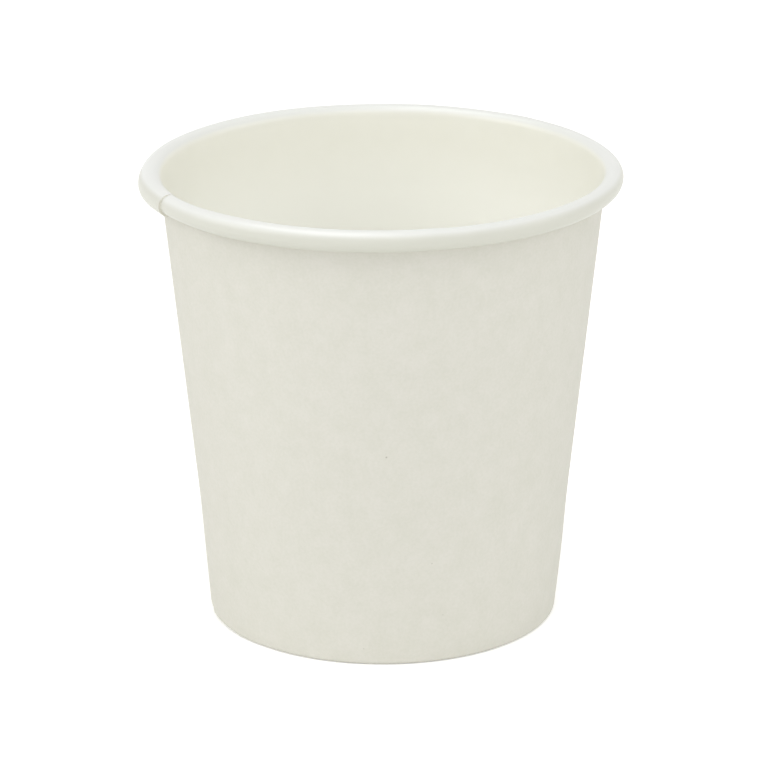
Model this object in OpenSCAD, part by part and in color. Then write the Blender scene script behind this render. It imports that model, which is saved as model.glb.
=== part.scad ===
// Small paper cup for a hot drink, plain and empty.
// The side wall is one sheet of paperboard: its upper edge is rolled outward into the rim, its two ends
// lap along a side seam, and its lower edge is folded inward and up as a hem. The bottom disc is a second
// sheet, whose skirt is clamped between the wall and the hem.
// The origin is at the centre of the foot, +Z runs up through the mouth, and -Y is the front.

/* [Cup] */
// Height over the rim
cup_h = 60; // [52:1:72]
// Outer diameter of the rolled rim
rim_d = 62; // [58:0.5:68]
// Outer diameter of the wall where it meets the foot
foot_d = 45.6; // [42:0.2:47.6]
// Height of the lower part of the wall, which the bottom tool presses steeper
waist_h = 16; // [10:0.5:24]
// Outer diameter of the wall at the top of that lower part
waist_d = 48.2; // [47.8:0.1:51]

/* [Board] */
// Thickness of the side wall's board
wall_t = 0.3; // [0.24:0.01:0.4]
// Thickness of the bottom disc's board
disc_t = 0.28; // [0.22:0.01:0.4]
// Bond line between two layers of board
bond_gap = 0.02; // [0.01:0.01:0.04]

/* [Rim] */
// Outside diameter of the roll's section
curl_d = 2.65; // [2.2:0.05:3.4]
// Slit between the roll's free edge and the wall
curl_gap = 0.15; // [0.08:0.01:0.3]

/* [Side seam] */
// Direction of the outer layer's cut edge, counted from +X towards +Y
seam_az = 193.5; // [0:0.5:359.5]
// Width of the lap, measured along the rim
lap_w = 7; // [4:0.2:9]
// How far the sealing jaw presses the two layers into each other
lap_press = 0.06; // [0.03:0.01:0.1]

/* [Bottom] */
// Height of the recess under the bottom disc
recess_h = 6; // [4.5:0.1:9]
// Height of the hem that is folded up inside the skirt
hem_h = 5.2; // [3:0.1:8]
// Outside radius of the bend between the disc and its skirt
bend_r = 0.7; // [0.5:0.05:1.2]
// Room between an edge of board and what it faces
edge_gap = 0.12; // [0.05:0.01:0.3]
// How far the fold at the foot is pressed flat where it stands
foot_flat = 0.05; // [0.03:0.01:0.08]

/* [Hidden] */
$fn = 144;
paper_white = "#dfdfd5";
coated_white = "#e6e4d8";

// How far past a solid its cutter reaches
over = 1;
// How far the wall's two faces sink into the roll's board where they join it
root_bite = 0.01;
// Side of the square that cuts a quarter of the cup
reach = rim_d;
// Direction of the middle of that quarter, where the cuts leave a revolved surface's own start line alone
quarter_mid = 45;

// The roll's section
curl_r = curl_d / 2;
curl_c = [rim_d / 2 - curl_r, cup_h - curl_r];

// The upper wall runs from the waist up into the roll, and its inner face all but touches the roll's outside
waist_in = [waist_d / 2 - wall_t, waist_h];
waist_out = [waist_d / 2, waist_h];
to_curl = curl_c - waist_in;
wall_lean = atan2(to_curl[0], to_curl[1]) - asin((curl_r - root_bite) / norm(to_curl));
toward_axis = [-cos(wall_lean), sin(wall_lean)];
along_wall = [sin(wall_lean), cos(wall_lean)];
neck_in = curl_c + (curl_r - root_bite) * toward_axis;
neck_out = curl_c + (curl_r - wall_t + root_bite) * toward_axis;

// The wall's end reaches up into the roll's board, and the slit below the roll ends a little under it
root_up = wall_t / 2 * along_wall;
slit_top = neck_in - curl_r / 3 * along_wall;

// The foot's fold holds the wall, the skirt and the hem
fold_r = wall_t + bond_gap + disc_t / 2;
fold_z = fold_r - foot_flat;
fold_c = [wall_r(fold_z) - fold_r, fold_z];

// The outer layer of the seam stands this far out from the inner one
seam_step = wall_t - lap_press;
lap_angle = lap_w / rim_d * 360 / PI;

// The bottom disc's skirt
skirt_in = wall_t + bond_gap;
skirt_low = fold_z + edge_gap;
disc_top = recess_h + disc_t;

// Radius of the lower wall's outer face at a height
function wall_r(z) = (foot_d + (waist_d - foot_d) * z / waist_h) / 2;

// A leaning strip of board beside the lower wall, between two depths from its outer face
module lower_strip(depth_a, depth_b, z_a, z_b) {
    polygon([
        [wall_r(z_a) - depth_b, z_a],
        [wall_r(z_a) - depth_a, z_a],
        [wall_r(z_b) - depth_a, z_b],
        [wall_r(z_b) - depth_b, z_b]
    ]);
}

// Section of the roll: a tube of board, slit where its free edge comes back to the wall
module curl_section() {
    difference() {
        translate(curl_c) circle(r = curl_r);
        translate(curl_c) circle(r = curl_r - wall_t);
        translate(slit_top)
            rotate(-wall_lean)
                translate([-over, -curl_d])
                    square([over + wall_t + curl_gap, curl_d]);
    }
}

// Section of the fold at the foot: half a tube of board, pressed flat where it stands
module fold_section() {
    difference() {
        translate(fold_c) circle(r = fold_r);
        translate(fold_c) circle(r = fold_r - wall_t);
        translate(fold_c - [over + fold_r, 0]) square([2 * (over + fold_r), over + fold_r]);
        translate([fold_c[0] - over - fold_r, -over]) square([2 * (over + fold_r), over]);
    }
}

// Section of the sheet from the foot's fold up to the roll's free edge
module sheet_section() {
    polygon([
        [wall_r(fold_z) - wall_t, fold_z],
        [wall_r(fold_z), fold_z],
        waist_out,
        neck_out,
        neck_out + root_up,
        neck_in + root_up,
        neck_in,
        waist_in
    ]);
    curl_section();
}

// Section of the hem, with the fold that it grows from
module hem_section() {
    lower_strip(2 * fold_r - wall_t, 2 * fold_r, fold_z, hem_h);
    fold_section();
}

// The sheet's inner layer: all the way round, but open from the lap's end to where the outer layer takes over
module inner_layer() {
    difference() {
        rotate([0, 0, quarter_mid]) rotate_extrude() sheet_section();
        translate([0, 0, -over])
            linear_extrude(cup_h + 2 * over)
                polygon([
                    [seam_step / 2, seam_step / 2 * tan(lap_angle)],
                    [reach, reach * tan(lap_angle)],
                    [reach, reach],
                    [seam_step / 2, reach]
                ]);
    }
}

// The sheet's outer layer: the same sheet moved out at the seam, back in line a quarter turn further on
module outer_layer() {
    intersection() {
        translate([seam_step, 0, 0]) rotate([0, 0, quarter_mid + 180]) rotate_extrude() sheet_section();
        translate([seam_step / 2, 0, -over]) cube([reach, reach, cup_h + 2 * over]);
    }
}

module side_wall() {
    color(paper_white)
        rotate([0, 0, seam_az]) {
            rotate([0, 0, quarter_mid + 90]) rotate_extrude() hem_section();
            inner_layer();
            outer_layer();
        }
}

// Section of the bottom disc: a flat web, a bend and a skirt that follows the wall's lean
module disc_section() {
    skirt_r = wall_r(disc_top - bend_r) - skirt_in;
    bend_c = [skirt_r - bend_r, disc_top - bend_r];
    translate([0, recess_h]) square([bend_c[0], disc_t]);
    difference() {
        translate(bend_c) circle(r = bend_r);
        translate(bend_c) circle(r = bend_r - disc_t);
        translate(bend_c - [over + bend_r, over + bend_r]) square([over + bend_r, 2 * (over + bend_r)]);
        translate(bend_c - [over, over + bend_r]) square([2 * over + bend_r, over + bend_r]);
    }
    lower_strip(skirt_in, skirt_in + disc_t, skirt_low, bend_c[1]);
}

module bottom_disc() {
    color(coated_white) rotate_extrude() disc_section();
}

side_wall();
bottom_disc();
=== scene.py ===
# %% [markdown]
# # A paper cup, from its board to its finish
#
# This file dresses a small paper cup. The shape comes packed from the CAD model; here the board gets
# its true folds, its cut edges and its finish. The order is the one in which such a cup is made: the
# fan-shaped sheet is wrapped and lapped, the bottom disc goes in, the foot is folded and the rim is rolled.
#
# The first cell loads the CAD model as a frame. Nothing in it may move.

# %% Load the frame
from math import asin, atan2, cos, hypot, pi, radians, sin

import bpy
import numpy as np
from mathutils import Matrix, Vector


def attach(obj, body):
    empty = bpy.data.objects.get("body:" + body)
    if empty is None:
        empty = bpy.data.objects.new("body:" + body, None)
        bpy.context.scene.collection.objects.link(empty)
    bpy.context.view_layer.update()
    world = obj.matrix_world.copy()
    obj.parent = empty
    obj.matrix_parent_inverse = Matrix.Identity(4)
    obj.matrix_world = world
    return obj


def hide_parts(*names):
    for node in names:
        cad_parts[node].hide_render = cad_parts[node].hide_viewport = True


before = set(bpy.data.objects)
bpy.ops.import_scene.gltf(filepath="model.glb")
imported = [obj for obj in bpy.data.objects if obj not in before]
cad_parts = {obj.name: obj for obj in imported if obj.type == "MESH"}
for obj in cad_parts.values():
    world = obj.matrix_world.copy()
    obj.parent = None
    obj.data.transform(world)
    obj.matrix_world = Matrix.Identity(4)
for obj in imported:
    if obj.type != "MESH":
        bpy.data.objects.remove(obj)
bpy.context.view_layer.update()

MM = 0.001
print("nodes:", sorted(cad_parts))

# %% [markdown]
# ## The sizes of the cup
#
# All sizes are in millimetres, as a cup maker would write them, and only the finished meshes are turned
# into metres. The wall is one straight cone up to the roll, but for its lowest part, which the
# bottom tool presses steeper, and for the last 10 mm, which the folding tool turns in a little more.
#
# WAIST is the wall's radius and height where the steeper part ends. FOOT_TURN is the height below which
# the wall turns in, and by how much at its lowest. FOLD_OUT and FOLD_IN are the half width and half height
# of the fold's outer and inner bend, over the board's outside.

# %% Sizes
CUP_HEIGHT = 60.0
RIM_RADIUS = 31.0
WAIST = (24.1, 16.0)
FOOT_RADIUS = 22.8
FOOT_TURN = (10.0, 0.24)

BOARD = 0.30
DISC_BOARD = 0.28
BOND = 0.02

ROLL_RADIUS = 1.325
ROLL_CENTRE = (RIM_RADIUS - ROLL_RADIUS, CUP_HEIGHT - ROLL_RADIUS)

LAYERS = 2 * BOARD + 2 * BOND + DISC_BOARD
FOLD_OUT = (0.74, 0.55)
FOLD_IN = (0.37, 0.41)
FOLD_FLAT = 0.03
HEM_TOP = 5.2

RECESS = 6.0
BEND_RADIUS = 0.7


def wall_radius(z):
    """Radius of the lower wall's outer face at a height."""
    turn_top, turn_in = FOOT_TURN
    straight = FOOT_RADIUS + (WAIST[0] - FOOT_RADIUS) * z / WAIST[1]
    return straight - turn_in * max(0.0, 1 - z / turn_top) ** 1.5


print("roll centre", ROLL_CENTRE, "layers at the foot", round(LAYERS, 3))

# %% [markdown]
# ## Directions round the cup
#
# Directions are counted in degrees from the side that faces the camera, positive to the right. The
# sheet starts at the cut edge that lies outside on the wall, far to the left, runs once round through the
# front, and ends a lap's width past its start, behind that edge.
#
# A rolled rim turns the sheet's inner face outward. So the layer that lies inside on the wall lies on
# top on the roll, and its cut end is the little step that shows on the rim to the left of the front.

# %% Directions
OUTER_END = -75.2
LAP = 11.8
INNER_END = OUTER_END + 360 + LAP


def on_circle(direction):
    """Unit vector of a direction round the cup."""
    a = radians(direction - 90)
    return np.array([cos(a), sin(a)])


def smooth(x):
    """Eases from 0 to 1 as x goes from 0 to 1."""
    x = min(1.0, max(0.0, x))
    return x * x * (3 - 2 * x)


def bump(x, centre, width):
    """A soft hump of height 1."""
    return float(np.exp(-(((x - centre) / width) ** 2)))


# %% [markdown]
# ## The section of the board
#
# A sheet that is folded and rolled has one thickness everywhere. So its section is best drawn as a single
# line, the middle of the board, and then given its thickness on both sides. The line runs down the hem,
# round the fold at the foot, up the wall and round the roll to its free edge.
#
# The fold isn't a half circle. The tool that irons it comes from inside, so its outer corner is drawn in
# as a long soft curve and its inner one is a tight bend that bulges a little toward the cup's axis.
#
# Where the two ends of the sheet lap, one layer has to go round the other. Six numbers say by how much:
# how far the wall stands out, how much the roll grows and how far it moves out and down, and
# how much the fold grows or lifts. Two more, in millimetres, make the foot fuller and its corner softer.
#
# HEM_BULGE is the height where the hem's bulge starts to fade, and over how far. UPPER_SHARES are shares
# of the way from the waist to the roll. CREST is the direction of the roll's crest seen from the roll's
# own centre, and its width, both in degrees.

# %% One section
HEM_HEIGHTS = (HEM_TOP, 4.0, 2.6, 1.9, 1.4, 1.0)
HEM_BULGE = (0.7, 1.5)
WALL_HEIGHTS = (1.15, 1.6, 2.2, 3.1, 4.2, 5.6, 7.4, 9.6, 12.4, 15.0)
UPPER_SHARES = (0.03, 0.1, 0.25, 0.45, 0.65, 0.82, 0.93)
FOLD_STEPS = (6, 10)
ROLL_STEPS = 30
ROLL_END = 150.0
CREST = (112, 46)


def middle_line(stand_out=0.0, roll_grow=0.0, roll_push=0.0, roll_drop=0.0, fold_grow=0.0, fold_lift=0.0,
                roll_end=ROLL_END, board=BOARD, foot_out=0.0, foot_soft=0.0):
    """The board's middle from the hem's edge to the roll's: its points, left-hand normals and crest."""
    pts, nrm, crest = [], [], []

    def put(r, z, nr, nz, on_crest=0.0):
        pts.append((r, z))
        nrm.append((nr, nz))
        crest.append(on_crest)

    half = board / 2
    lean = atan2(WAIST[0] - FOOT_RADIUS, WAIST[1])
    out_r = FOLD_OUT[0] + fold_grow - half + foot_out
    out_z = FOLD_OUT[1] + fold_grow - half + foot_soft
    in_r, in_z = (size + fold_grow - half for size in FOLD_IN)
    low_z = half - FOLD_FLAT + fold_lift
    low_r = wall_radius(low_z + out_z) + stand_out + foot_out - half - out_r

    for z in HEM_HEIGHTS:
        clamped = wall_radius(z) + stand_out - LAYERS - 2 * fold_grow + half
        bulge = clamped - (low_r - in_r)
        put(clamped - bulge * (1 - smooth((z - HEM_BULGE[0]) / HEM_BULGE[1])), z, cos(lean), -sin(lean))
    for i in range(FOLD_STEPS[0] + 1):
        a = radians(180 + 90 * i / FOLD_STEPS[0])
        n = hypot(cos(a) / in_r, sin(a) / in_z)
        put(low_r + in_r * cos(a), low_z + in_z + in_z * sin(a), -cos(a) / in_r / n, -sin(a) / in_z / n)
    for i in range(1, FOLD_STEPS[1] + 1):
        a = radians(270 + 90 * i / FOLD_STEPS[1])
        n = hypot(cos(a) / out_r, sin(a) / out_z)
        put(low_r + out_r * cos(a), low_z + out_z + out_z * sin(a), -cos(a) / out_r / n, -sin(a) / out_z / n)
    for z in WALL_HEIGHTS:
        bulky = foot_out * max(0.0, 1 - (z - low_z - out_z) / FOOT_TURN[0]) ** 1.5
        put(wall_radius(z) + stand_out + bulky - half, z, -cos(lean), sin(lean))

    ring = ROLL_RADIUS + roll_grow - half
    centre = (ROLL_CENTRE[0] + roll_push, ROLL_CENTRE[1] - roll_drop)
    waist = (WAIST[0] + stand_out - half, WAIST[1])
    dr, dz = centre[0] - waist[0], centre[1] - waist[1]
    lean = atan2(dr, dz) - asin(ring / hypot(dr, dz))
    neck = (centre[0] - ring * cos(lean), centre[1] + ring * sin(lean))
    for f in UPPER_SHARES:
        put(waist[0] + (neck[0] - waist[0]) * f, waist[1] + (neck[1] - waist[1]) * f, -cos(lean), sin(lean))

    start = pi - lean
    sweep = start + radians(roll_end)
    for i in range(ROLL_STEPS + 1):
        a = start - sweep * i / ROLL_STEPS
        put(centre[0] + ring * cos(a), centre[1] + ring * sin(a), cos(a), sin(a),
            bump(a, radians(CREST[0]), radians(CREST[1])))
    return np.array(pts), np.array(nrm), np.array(crest)


line, _, _ = middle_line()
print("points along the board:", len(line))

# %% [markdown]
# ## Handmade by a machine
#
# A forming machine rolls the rim in a fraction of a second, and board isn't even. So the roll of a real
# cup waves by a tenth of a millimetre or so, its free edge wanders, and where the rolling tool
# meets the double board of the lap the roll is thicker and hangs a little. The foot is fuller on that
# side too, with a softer corner. A few soft humps and waves with fixed places give that, the same each
# time the file runs.

# %% Waves of the rim, and the bulky side
def rim_wave(direction):
    """How far the roll's centre moves up at a direction, in millimetres."""
    a = radians(direction)
    wave = 0.035 * sin(2 * a + 0.6) + 0.02 * sin(5 * a + 2.1) + 0.012 * sin(9 * a + 0.4)
    wave += 0.03 * bump(direction, 168, 7) + 0.05 * bump(direction, 142, 5)
    wave += 0.03 * bump(direction, 12, 3) - 0.03 * bump(direction, 17, 3)
    return wave


def rim_hang(direction):
    """How much thicker the roll is at a direction, and hangs lower, where the tool met the lap."""
    return 0.13 * bump(direction, -80, 14)


def rim_side(direction):
    """How far the roll's outer side stands out at a direction: it is a little bulkier on the left."""
    return 0.03 - 0.125 * sin(radians(direction)) + rim_hang(direction) / 2


def foot_side(direction):
    """How far the foot's fold stands out at a direction, and how much softer its corner is there."""
    return 0.26 * bump(direction, -98, 26), 0.42 * bump(direction, -82, 30)


def rim_swell(direction):
    """How much the roll's radius changes at a direction, in millimetres."""
    a = radians(direction)
    return 0.012 * sin(3 * a + 1.0) + 0.010 * sin(7 * a + 2.6) + 0.006 * sin(16 * a) + rim_hang(direction)


print("the roll's side stands out on the left by", round(rim_side(-90), 3), "mm")

# %% [markdown]
# ## The sheet, all the way round
#
# The sections stand side by side like the ribs of a boat. Each has the same number of points, so that
# quads can join them. A closed body needs its two cut ends too, a strip of quads each. The faces get
# one of three finishes by the side of the board they are on: the plain side outside, the coated
# side inside, which the roll brings out over the rim, and the bare cut edges.
#
# The lap is sealed hot and under pressure, so one layer stands out from the other by a little less than
# the board's thickness: that is the step. Past the lap it eases off over some degrees, and the fold at
# the foot is pressed back faster. On the roll's crest the forming tool presses the step nearly flat, so it
# shows most on the roll's outer side.

# %% Stations round the sheet
STATIONS = 696
STEP = BOARD - 0.03
PRESS = 0.24
START_EASE, END_EASE, FOLD_EASE = 26.0, 22.0, 9.0
LAP_EDGE = 2.0


def station(u):
    """The board's section at u degrees from the sheet's outer end, and how it lies in the lap."""
    direction = OUTER_END + u
    turned = direction if direction <= 180 else direction - 360
    left = INNER_END - direction
    near_start = 1 - smooth((u - LAP) / START_EASE)
    near_end = 1 - smooth((left - LAP) / END_EASE)
    in_lap = smooth((LAP + LAP_EDGE - min(u, left)) / LAP_EDGE)
    board = BOARD - (BOARD - STEP) * in_lap
    out = rim_side(turned) + STEP * (near_start + near_end)
    grow = rim_swell(turned) - STEP * near_start + rim_side(turned) / 2
    foot_out, foot_soft = foot_side(turned)
    section = middle_line(
        stand_out=STEP * near_start,
        roll_grow=grow,
        roll_push=out - grow - STEP * near_start,
        roll_drop=grow + STEP * near_start - rim_wave(turned),
        fold_grow=STEP * (1 - smooth((u - LAP) / FOLD_EASE)),
        fold_lift=STEP * (1 - smooth((left - LAP) / FOLD_EASE)),
        roll_end=ROLL_END + 6 * sin(radians(4 * direction)),
        board=board,
        foot_out=foot_out,
        foot_soft=foot_soft)
    return direction, section, board, PRESS * (near_start if u < 180 else in_lap), u < 180


def sheet_mesh():
    """The side wall's vertices, its faces and the finish of each."""
    span = INNER_END - OUTER_END
    verts, loops = [], []
    for i in range(STATIONS + 1):
        direction, (pts, nrm, crest), board, press, under = station(span * i / STATIONS)
        pressed = (press * crest)[:, None]
        coated = pts + nrm * (board / 2 + (pressed if under else 0.0))
        plain = pts - nrm * (board / 2 - pressed)
        outline = np.concatenate([coated, plain[::-1]])
        outline[:, 1] = np.maximum(outline[:, 1], 0.0)
        across = on_circle(direction)
        loops.append(len(verts))
        verts.extend((r * across[0], r * across[1], z) for r, z in outline)
    n = len(outline)
    half = n // 2
    faces, finish = [], []
    for a, b in zip(loops, loops[1:]):
        for k in range(n):
            m = (k + 1) % n
            faces.append((a + k, b + k, b + m, a + m))
            finish.append(2 if k in (half - 1, n - 1) else (1 if k < half else 0))
    for start, turned in ((loops[0], False), (loops[-1], True)):
        for k in range(half - 1):
            quad = (start + k, start + k + 1, start + n - 2 - k, start + n - 1 - k)
            faces.append(quad[::-1] if turned else quad)
            finish.append(2)
    return np.array(verts) * MM, faces, finish


# %% [markdown]
# ## From points to a piece
#
# Both sheets become objects in the same way: smooth faces, but a crease where the board is cut.

# %% Build a piece
def build_piece(name, verts, faces, finish, materials, sharp_at=50.0):
    """A closed smooth mesh, with its edges kept sharp where two faces meet at a large angle."""
    mesh = bpy.data.meshes.new(name)
    mesh.from_pydata([tuple(v) for v in verts], [], faces)
    mesh.update()
    for m in materials:
        mesh.materials.append(m)
    mesh.polygons.foreach_set("material_index", finish)
    mesh.polygons.foreach_set("use_smooth", [True] * len(faces))
    mesh.set_sharp_from_angle(angle=radians(sharp_at))
    piece = bpy.data.objects.new(name, mesh)
    bpy.context.scene.collection.objects.link(piece)
    return piece


# %% [markdown]
# ## Colours
#
# A maker writes a colour as six hex digits, which are sRGB values. Blender's shaders count in linear
# light, so one function turns them.

# %% Colour and node helpers
WHITE = (1, 1, 1, 1)


def linear(hex_colour):
    """A hex colour as the linear values that a shader takes."""
    parts = [int(hex_colour[i:i + 2], 16) / 255 for i in (1, 3, 5)]
    return [c / 12.92 if c <= 0.04045 else ((c + 0.055) / 1.055) ** 2.4 for c in parts] + [1.0]


def add(tree, kind, values=None, links=None, **settings):
    """Adds a node with its settings, input values and incoming links."""
    made = tree.nodes.new(kind)
    for key, value in settings.items():
        setattr(made, key, value)
    for key, value in (values or {}).items():
        made.inputs[key].default_value = value
    for key, source in (links or {}).items():
        tree.links.new(source, made.inputs[key])
    return made


def new_material(name):
    """A material with an empty tree and its output."""
    material = bpy.data.materials.new(name)
    material.use_nodes = True
    tree = material.node_tree
    tree.nodes.clear()
    return material, tree, add(tree, "ShaderNodeOutputMaterial")


# %% [markdown]
# ## Uncoated paperboard
#
# The outside is bleached board without a coating. It is matt, and never one even white: the fibres lie in
# loose clouds two or three millimetres wide, over a grain of single fibres about a third of a
# millimetre long, and here and there a darker speck of bark or ink is caught in the sheet.
#
# A speck is given by its direction, its height and its size in millimetres, and how dark it is.

# %% Uncoated board
CLOUD_WIDTH, FIBRE_LENGTH, FIBRE_RELIEF = 2.6 * MM, 0.38 * MM, 0.012 * MM
SPECKS = [
    (0.85, 29.22, 0.13, 0.55), (-57.65, 20.94, 0.10, 0.35), (14.8, 14.09, 0.10, 0.35),
    (18.86, 6.67, 0.09, 0.3), (-6.47, 2.3, 0.09, 0.3), (-70.63, 18.96, 0.10, 0.3),
    (-41.96, 23.48, 0.08, 0.25), (132.0, 35.0, 0.11, 0.4), (171.0, 12.5, 0.09, 0.35),
    (-118.0, 41.0, 0.10, 0.35),
]


def wall_point(direction, z):
    """A point on the wall's outer face, in metres."""
    neck_radius, upper_height = 28.5, 41.0
    upper = WAIST[0] + (z - WAIST[1]) * (neck_radius - WAIST[0]) / upper_height
    r = wall_radius(z) if z < WAIST[1] else upper
    x, y = on_circle(direction) * r
    return Vector((x, y, z)) * MM


def uncoated_board():
    """Bleached board without a coating: matt, in a warm white with a green-grey cast."""
    material, tree, out = new_material("uncoated_paperboard")
    place = add(tree, "ShaderNodeTexCoord").outputs["Object"]
    clouds = add(tree, "ShaderNodeTexNoise", {"Scale": 1 / CLOUD_WIDTH, "Detail": 3.0, "Roughness": 0.6},
                 {"Vector": place})
    grain = add(tree, "ShaderNodeTexNoise", {"Scale": 1 / FIBRE_LENGTH, "Detail": 2.0, "Roughness": 0.55},
                {"Vector": place})
    both = add(tree, "ShaderNodeMath", None, {0: clouds.outputs["Fac"], 1: grain.outputs["Fac"]},
               operation="ADD")
    tone = add(tree, "ShaderNodeMapRange", {"From Min": 0.7, "From Max": 1.3}, {"Value": both.outputs[0]})
    colour = add(tree, "ShaderNodeMix", {6: linear("#d8d7cc"), 7: linear("#dedcd3")},
                 {0: tone.outputs["Result"]}, data_type="RGBA")
    shade = colour.outputs[2]
    for direction, z, size, depth in SPECKS:
        gap = add(tree, "ShaderNodeVectorMath", {1: wall_point(direction, z)}, {0: place},
                  operation="DISTANCE")
        mark = add(tree, "ShaderNodeMapRange",
                   {"From Min": size * 0.4 * MM, "From Max": size * 1.3 * MM, "To Min": depth, "To Max": 0.0},
                   {"Value": gap.outputs["Value"]}, interpolation_type="SMOOTHSTEP")
        mixed = add(tree, "ShaderNodeMix", {7: linear("#8d8879")}, {0: mark.outputs["Result"], 6: shade},
                    data_type="RGBA")
        shade = mixed.outputs[2]
    relief = add(tree, "ShaderNodeBump", {"Strength": 0.35, "Distance": FIBRE_RELIEF},
                 {"Height": grain.outputs["Fac"]})
    skin = add(tree, "ShaderNodeBsdfPrincipled", {"Roughness": 0.82, "IOR": 1.5},
               {"Base Color": shade, "Normal": relief.outputs["Normal"]})
    tree.links.new(skin.outputs["BSDF"], out.inputs["Surface"])
    return material


# %% [markdown]
# ## Film-coated paperboard
#
# The drink side carries a thin clear film of polythene, melted on. It fills the grain, so the surface
# is smoother and has a soft gloss, and it makes the white a little warmer. The rolled rim is this side
# turned out, which is why a rim shines where the wall below it doesn't.
#
# Its white has four tones. Darker just inside the mouth and whiter deeper in the cup is painted shade
# under the rim and painted light lower down. A cooler, whiter one on the roll's crest is a painted
# highlight. A grey one on the roll's outer side and underside is partly the film stretched by rolling and
# partly painted shade: it covers the underside, which faces down, and reaches further round on the right,
# away from the light. The first number of each pair is where a tone starts to come in and the second
# where it is full, in height or in distance from the axis. The grey one is measured from a point a little
# left of the axis, so that its painted shade reaches further round on the right.

# %% Coated board
# Heights and radii where the film's painted light, shade and highlight come in and are full.
PAINTED_DEPTH_LIGHT_HEIGHTS = (59 * MM, 44 * MM)
CREST_HIGHLIGHT_RADII = (28.3 * MM, 28.8 * MM)
STRETCHED_GREY_AND_SHADE_RADII = (30.45 * MM, 31.05 * MM)
PAINTED_SHADE_SHIFT = 0.2 * MM
UNDERSIDE_SHADE_HEIGHTS = (58.9 * MM, 58.3 * MM)


def coated_board():
    """Board under a film of polythene: smoother than bare board, with a soft gloss; its colour holds painted
    light, shade and highlight.
    """
    material, tree, out = new_material("film_coated_paperboard")
    place = add(tree, "ShaderNodeTexCoord").outputs["Object"]
    clouds = add(tree, "ShaderNodeTexNoise", {"Scale": 1 / (3.0 * MM), "Detail": 3.0}, {"Vector": place})
    grain = add(tree, "ShaderNodeTexNoise", {"Scale": 1 / (0.5 * MM), "Detail": 2.0}, {"Vector": place})
    height = add(tree, "ShaderNodeSeparateXYZ", None, {0: place})
    # Painted light and shade: darker just under the rim, whiter deeper in the cup.
    depth = add(tree, "ShaderNodeMapRange", {"From Min": PAINTED_DEPTH_LIGHT_HEIGHTS[0], "From Max": PAINTED_DEPTH_LIGHT_HEIGHTS[1]},
                {"Value": height.outputs["Z"]}, interpolation_type="SMOOTHSTEP")
    inside_with_painted_light = add(tree, "ShaderNodeMix", {6: linear("#efeee2"), 7: linear("#fefef7")},
                 {0: depth.outputs["Result"]}, data_type="RGBA")
    faint = add(tree, "ShaderNodeMath", {1: 0.25}, {0: clouds.outputs["Fac"]}, operation="MULTIPLY")
    inside_with_painted_light = add(tree, "ShaderNodeMix", {7: linear("#fdfcf6")}, {0: faint.outputs[0], 6: inside_with_painted_light.outputs[2]},
                 data_type="RGBA")
    flat = add(tree, "ShaderNodeVectorMath", {1: (1, 1, 0)}, {0: place}, operation="MULTIPLY")
    radius = add(tree, "ShaderNodeVectorMath", None, {0: flat.outputs[0]}, operation="LENGTH")
    # Painted highlight: from these radii on, the roll's crest takes a cooler, whiter tone.
    crest = add(tree, "ShaderNodeMapRange", {"From Min": CREST_HIGHLIGHT_RADII[0], "From Max": CREST_HIGHLIGHT_RADII[1]},
                {"Value": radius.outputs["Value"]}, interpolation_type="SMOOTHSTEP")
    # The grey's centre moves a little left, so its painted shade reaches further round on the right.
    moved = add(tree, "ShaderNodeVectorMath", {1: (PAINTED_SHADE_SHIFT, 0, 0)}, {0: flat.outputs[0]}, operation="ADD")
    off_centre = add(tree, "ShaderNodeVectorMath", None, {0: moved.outputs[0]}, operation="LENGTH")
    outer = add(tree, "ShaderNodeMapRange", {"From Min": STRETCHED_GREY_AND_SHADE_RADII[0], "From Max": STRETCHED_GREY_AND_SHADE_RADII[1]},
                {"Value": off_centre.outputs["Value"]}, interpolation_type="SMOOTHSTEP")
    # Painted shade on the roll's underside, below its middle, where it faces down.
    underside_shade = add(tree, "ShaderNodeMapRange", {"From Min": UNDERSIDE_SHADE_HEIGHTS[0], "From Max": UNDERSIDE_SHADE_HEIGHTS[1]},
                {"Value": height.outputs["Z"]}, interpolation_type="SMOOTHSTEP")
    under = add(tree, "ShaderNodeMath", None, {0: underside_shade.outputs["Result"], 1: crest.outputs["Result"]},
                operation="MULTIPLY")
    grey_and_shade = add(tree, "ShaderNodeMath", None, {0: outer.outputs["Result"], 1: under.outputs[0]},
                     operation="MAXIMUM")
    # The crest's painted highlight, then the grey of stretched film and painted shade.
    colour = add(tree, "ShaderNodeMix", {7: linear("#e8e9e4")},
                 {0: crest.outputs["Result"], 6: inside_with_painted_light.outputs[2]}, data_type="RGBA")
    colour = add(tree, "ShaderNodeMix", {7: linear("#d5d5ca")},
                 {0: grey_and_shade.outputs[0], 6: colour.outputs[2]}, data_type="RGBA")
    relief = add(tree, "ShaderNodeBump", {"Strength": 0.3, "Distance": 0.008 * MM},
                 {"Height": grain.outputs["Fac"]})
    skin = add(tree, "ShaderNodeBsdfPrincipled", {"Roughness": 0.32, "IOR": 1.5},
               {"Base Color": colour.outputs[2], "Normal": relief.outputs["Normal"]})
    tree.links.new(skin.outputs["BSDF"], out.inputs["Surface"])
    return material


# %% [markdown]
# ## Cut edge
#
# Where the board is cut, its layers of fibre show. The cut is rough and takes less light, so it
# reads as a thin grey line beside the white faces.

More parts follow.
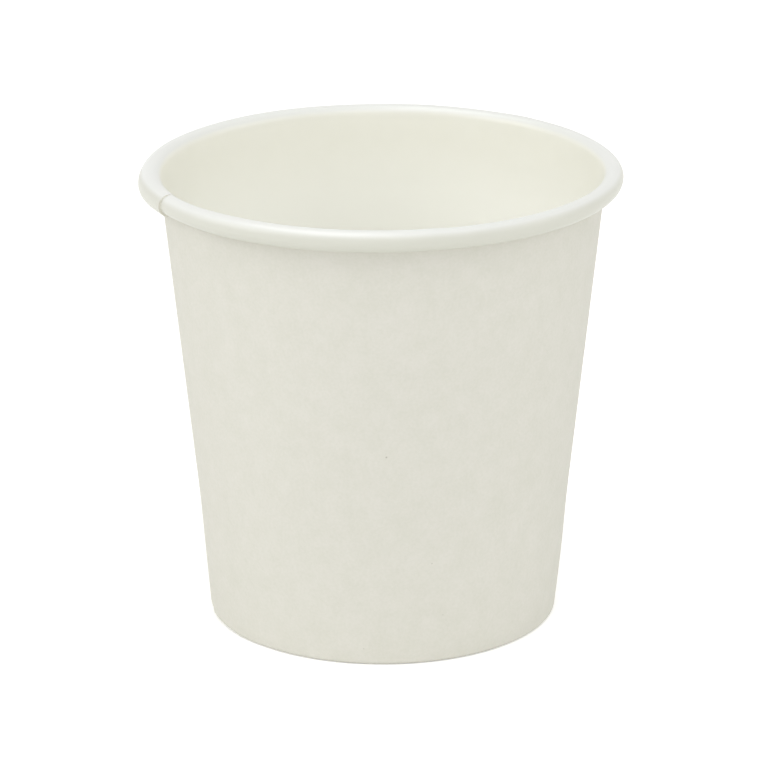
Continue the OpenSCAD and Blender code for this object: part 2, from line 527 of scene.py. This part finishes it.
# %% Cut edge
def cut_edge():
    """The bare cut through the board's layers: the roughest of the three finishes."""
    material, tree, out = new_material("cut_paperboard_edge")
    place = add(tree, "ShaderNodeTexCoord").outputs["Object"]
    fibre = add(tree, "ShaderNodeTexNoise", {"Scale": 1 / (0.12 * MM), "Detail": 3.0, "Roughness": 0.7},
                {"Vector": place})
    colour = add(tree, "ShaderNodeMix", {6: linear("#d2d0c4"), 7: linear("#e6e4d8")},
                 {0: fibre.outputs["Fac"]}, data_type="RGBA")
    relief = add(tree, "ShaderNodeBump", {"Strength": 0.6, "Distance": 0.02 * MM},
                 {"Height": fibre.outputs["Fac"]})
    skin = add(tree, "ShaderNodeBsdfPrincipled", {"Roughness": 0.9, "IOR": 1.5},
               {"Base Color": colour.outputs[2], "Normal": relief.outputs["Normal"]})
    tree.links.new(skin.outputs["BSDF"], out.inputs["Surface"])
    return material


FINISHES = [uncoated_board(), coated_board(), cut_edge()]
print("materials:", [material.name for material in FINISHES])

# %% [markdown]
# ## The side wall
#
# The mesh takes the place of the CAD model's plain side wall, which is hidden but not removed.

# %% Side wall
verts, faces, finish = sheet_mesh()
side_wall = build_piece("side_wall_sheet", verts, faces, finish, FINISHES)
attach(side_wall, "root")
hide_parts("side_wall")
print("side wall:", len(verts), "points,", 2 * len(faces), "triangles")

# %% [markdown]
# ## The bottom disc
#
# The bottom is a round blank with its edge drawn down as a skirt. Drawing a flat blank into a
# skirt leaves too much board at the edge, so the bend is gathered in many small pleats. The web itself
# comes out of the tool a little domed. Its coated side looks up into the drink.

# %% Bottom disc
DISC_STATIONS = 480
PLEATS = 96
WEB_RADII = (0.6, 3, 6, 9, 12, 15, 17.5, 19.5, 21.0)
SKIRT_HEIGHTS = (4.2, 2.8, 1.8, 1.0)
BEND_STEPS = 8
DOME_RADIUS, DOME, DOME_DROP = 21.5, 0.10, 0.11


def disc_mesh():
    """The bottom disc's vertices, its faces and the finish of each."""
    skirt_r = wall_radius(RECESS + DISC_BOARD - BEND_RADIUS) - BOARD - BOND
    bend = (skirt_r - BEND_RADIUS, RECESS + DISC_BOARD - BEND_RADIUS)
    lean = atan2(WAIST[0] - FOOT_RADIUS, WAIST[1])
    pts, nrm = [], []
    mid = BEND_RADIUS - DISC_BOARD / 2
    for r in WEB_RADII:
        pts.append((r, RECESS + DISC_BOARD / 2))
        nrm.append((0, 1))
    for i in range(BEND_STEPS + 1):
        a = radians(90 - 90 * i / BEND_STEPS)
        pts.append((bend[0] + mid * cos(a), bend[1] + mid * sin(a)))
        nrm.append((cos(a), sin(a)))
    for z in SKIRT_HEIGHTS:
        pts.append((wall_radius(z) - BOARD - BOND - DISC_BOARD / 2, z))
        nrm.append((cos(lean), 0))
    pts, nrm = np.array(pts, float), np.array(nrm, float)
    verts, n = [], 2 * len(pts)
    web = slice(0, len(WEB_RADII))
    bent = slice(len(WEB_RADII), len(WEB_RADII) + BEND_STEPS)
    for i in range(DISC_STATIONS):
        direction = 360 * i / DISC_STATIONS
        pleat = 0.012 * sin(radians(direction * PLEATS)) + 0.006 * sin(radians(direction * 37 + 40))
        line = pts.copy()
        line[bent] -= nrm[bent] * (0.018 - pleat)
        line[web, 1] += DOME * (1 - (pts[web, 0] / DOME_RADIUS) ** 2) - DOME_DROP
        top, low = line + nrm * DISC_BOARD / 2, line - nrm * DISC_BOARD / 2
        across = on_circle(direction)
        verts.extend((r * across[0], r * across[1], z) for r, z in np.concatenate([top, low[::-1]]))
    verts.append((0, 0, verts[0][2]))
    verts.append((0, 0, verts[n - 1][2]))
    top_mid, low_mid = len(verts) - 2, len(verts) - 1
    faces, finish = [], []
    for i in range(DISC_STATIONS):
        a, b = i * n, (i + 1) % DISC_STATIONS * n
        for k in range(n - 1):
            faces.append((a + k, a + k + 1, b + k + 1, b + k))
            finish.append(2 if k == n // 2 - 1 else (1 if k < n // 2 else 0))
        faces.append((a, b, top_mid))
        faces.append((b + n - 1, a + n - 1, low_mid))
        finish.extend((1, 0))
    return np.array(verts) * MM, faces, finish


verts, faces, finish = disc_mesh()
bottom_disc = build_piece("bottom_disc_sheet", verts, faces, finish, FINISHES)
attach(bottom_disc, "root")
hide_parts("bottom_disc")
print("bottom disc:", len(verts), "points")

# %% [markdown]
# ## Floor and surroundings
#
# The cup stands on plain white. The floor is an ordinary matt white that catches the cup's soft shadow.
# What the camera sees of it gets a little extra, so that it reads as clean white; this part is
# switched on for camera, glossy and transmission rays alone, and lights nothing. The floor lies a hair
# lower than the foot, so that the two faces don't fall together.
#
# The world is white as well. As a light it is a little dimmer than it looks.

# %% Floor and world
FLOOR_DROP = 0.02 * MM
FLOOR_EXTRA = 0.28
WORLD_LIGHT = 0.735


def seen_directly(tree):
    """1 for rays that show the surroundings to the camera, straight or by reflection."""
    rays = add(tree, "ShaderNodeLightPath")
    first = add(tree, "ShaderNodeMath", None,
                {0: rays.outputs["Is Camera Ray"], 1: rays.outputs["Is Glossy Ray"]}, operation="MAXIMUM")
    return add(tree, "ShaderNodeMath", None, {0: first.outputs[0], 1: rays.outputs["Is Transmission Ray"]},
               operation="MAXIMUM").outputs[0]


bpy.ops.mesh.primitive_plane_add(size=6, location=(0, 0, -FLOOR_DROP))
floor = bpy.context.object
floor.name = "studio_floor"
material, tree, out = new_material("studio_white")
matt = add(tree, "ShaderNodeBsdfDiffuse", {"Color": linear("#fcfcfa")})
extra = add(tree, "ShaderNodeMath", {1: FLOOR_EXTRA}, {0: seen_directly(tree)}, operation="MULTIPLY")
lift = add(tree, "ShaderNodeEmission", {"Color": WHITE}, {"Strength": extra.outputs[0]})
both = add(tree, "ShaderNodeAddShader", None, {0: matt.outputs[0], 1: lift.outputs[0]})
tree.links.new(both.outputs[0], out.inputs["Surface"])
floor.data.materials.append(material)

world = bpy.data.worlds.new("studio_world")
bpy.context.scene.world = world
world.use_nodes = True
tree = world.node_tree
tree.nodes.clear()
amount = add(tree, "ShaderNodeMapRange", {"To Min": WORLD_LIGHT, "To Max": 1.0},
             {"Value": seen_directly(tree)})
sky = add(tree, "ShaderNodeBackground", {"Color": WHITE}, {"Strength": amount.outputs["Result"]})
add(tree, "ShaderNodeOutputWorld", None, {"Surface": sky.outputs[0]})
print("floor:", floor.name, "world:", world.name)

# %% [markdown]
# ## Lamps
#
# The cup is lit as in a light tent, and the white floor gives light back from below. A wide lamp over the
# front and a low one before it light the wall, and one at each side shapes it. The left one is stronger,
# so the left side comes out a shade brighter. The last lamp is overhead and gives only the gloss on the
# rim and the film, because it is left out of the matt light.

# %% Lamps
LAMP_AIM = Vector((0, 0, 0.03))


def lamp(name, where, size, watts):
    """A rectangular lamp that looks at the cup: its place and size in metres and its power in watts."""
    light = bpy.data.lights.new(name, "AREA")
    light.shape = "RECTANGLE"
    light.size, light.size_y = size
    light.energy = watts
    body = bpy.data.objects.new(name, light)
    body.location = where
    body.rotation_euler = (LAMP_AIM - Vector(where)).to_track_quat("-Z", "Y").to_euler()
    bpy.context.scene.collection.objects.link(body)
    return body


lamp("overhead_front", (0.0, -0.50, 0.79), (0.60, 0.45), 1.10)
lamp("front_fill", (0.0, -1.00, 0.30), (0.80, 0.30), 0.60)
lamp("left_soft", (-0.75, -0.20, 0.55), (0.7, 0.5), 1.85)
lamp("right_soft", (0.80, -0.15, 0.45), (0.7, 0.5), 1.05)
gloss = lamp("overhead_gloss", (-0.25, 0.0, 0.95), (0.9, 0.50), 3.6)
gloss.visible_diffuse = False

# %% [markdown]
# ## Camera
#
# The camera stands where the outline of the cup in the photograph says it stood: a long lens from
# 567 mm away, looking down by 18.7 degrees.

# %% Camera
PITCH, DISTANCE, LENS_PIXELS, ROLL_ANGLE = 18.739, 566.86, 4345.84, -0.169
AIM = Vector((0.11, 0, 30.27)) * MM
PICTURE_WIDTH, SENSOR_WIDTH = 768, 36

forward = Vector((0, cos(radians(PITCH)), -sin(radians(PITCH))))
right = Vector((1, 0, 0))
up = Vector((0, sin(radians(PITCH)), cos(radians(PITCH))))
turn_c, turn_s = cos(radians(ROLL_ANGLE)), sin(radians(ROLL_ANGLE))
right, up = turn_c * right + turn_s * up, -turn_s * right + turn_c * up

camera = bpy.data.objects.new("camera", bpy.data.cameras.new("camera"))
camera.data.sensor_width = SENSOR_WIDTH
camera.data.lens = LENS_PIXELS * SENSOR_WIDTH / PICTURE_WIDTH
camera.data.clip_end = 20
basis = Matrix((right, up, -forward)).transposed().to_4x4()
camera.matrix_world = Matrix.Translation(AIM - forward * DISTANCE * MM) @ basis
bpy.context.scene.collection.objects.link(camera)
bpy.context.scene.camera = camera
bpy.context.scene.view_settings.view_transform = "Standard"
print("lens:", round(camera.data.lens, 1), "mm")
